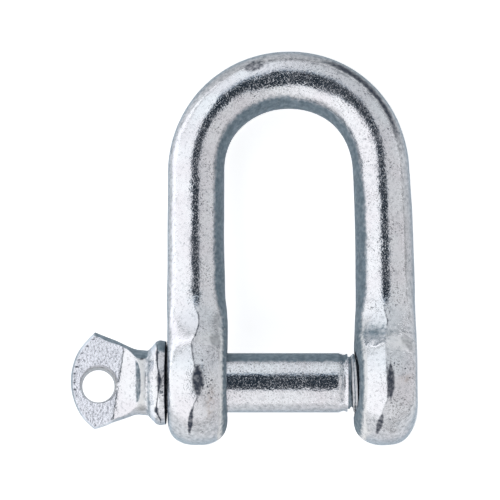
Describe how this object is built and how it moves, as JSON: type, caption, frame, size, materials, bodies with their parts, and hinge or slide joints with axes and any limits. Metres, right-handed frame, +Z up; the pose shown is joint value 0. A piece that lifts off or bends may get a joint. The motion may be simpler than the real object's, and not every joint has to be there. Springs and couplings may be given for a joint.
{
  "type": "chain joining shackle",
  "caption": "Zinc-plated dee shackle for joining chain: a forged round-bar bow with lugs, closed by a screw pin with a collar and a flattened eye head.",
  "frame": {"origin": "on the pin's axis, midway between the two lugs", "axes": "+X along the pin, from its eye head to its tip; +Y from the pin towards the crown of the bow; +Z up from the surface that the shackle lies on"},
  "size_m": [0.0587, 0.0672, 0.0212],
  "materials": {
    "bow_zinc": "bright zinc plate over forged steel",
    "pin_zinc": "bright zinc plate over turned and forged steel"
  },
  "bodies": {
    "bow": {"bow": "bow_zinc"},
    "pin": {"screw_pin": "pin_zinc"}
  },
  "joints": [
    {"name": "pin_draw", "type": "slide", "parent": "bow", "child": "pin", "axis": [-1, 0, 0], "range_m": [0, 0.046]}
  ]
}
